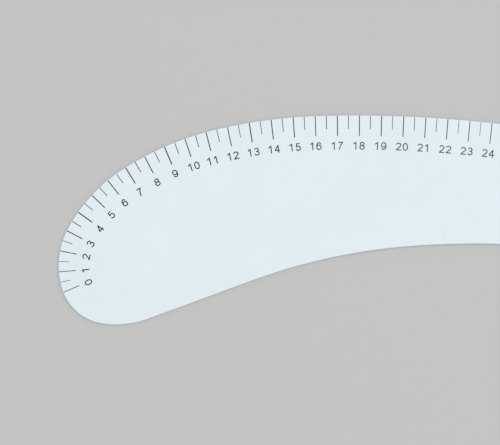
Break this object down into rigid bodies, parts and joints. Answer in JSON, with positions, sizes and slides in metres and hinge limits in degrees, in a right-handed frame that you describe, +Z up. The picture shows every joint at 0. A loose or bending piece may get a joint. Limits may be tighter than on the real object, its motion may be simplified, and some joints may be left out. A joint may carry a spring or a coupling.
{
  "type": "curved drafting ruler",
  "caption": "Flat flexible plastic drafting curve with a fat round nose and a narrow square-cut end, and a centimetre scale printed along its outer edge.",
  "frame": {"origin": "middle of the sheet's bounding box, on the bare lower face that the ruler rests on", "axes": "+X from the fat nose to the narrow end, +Y towards the outer, printed edge at the crown, +Z up out of the printed face"},
  "size_m": [0.5581, 0.1376, 0.0012],
  "materials": {
    "white_sheet": "satin",
    "scale_ink": "satin"
  },
  "bodies": {
    "root": {"blade": "white_sheet", "centimetre_marks": "scale_ink", "half_centimetre_marks": "scale_ink", "numerals": "scale_ink"}
  },
  "joints": []
}
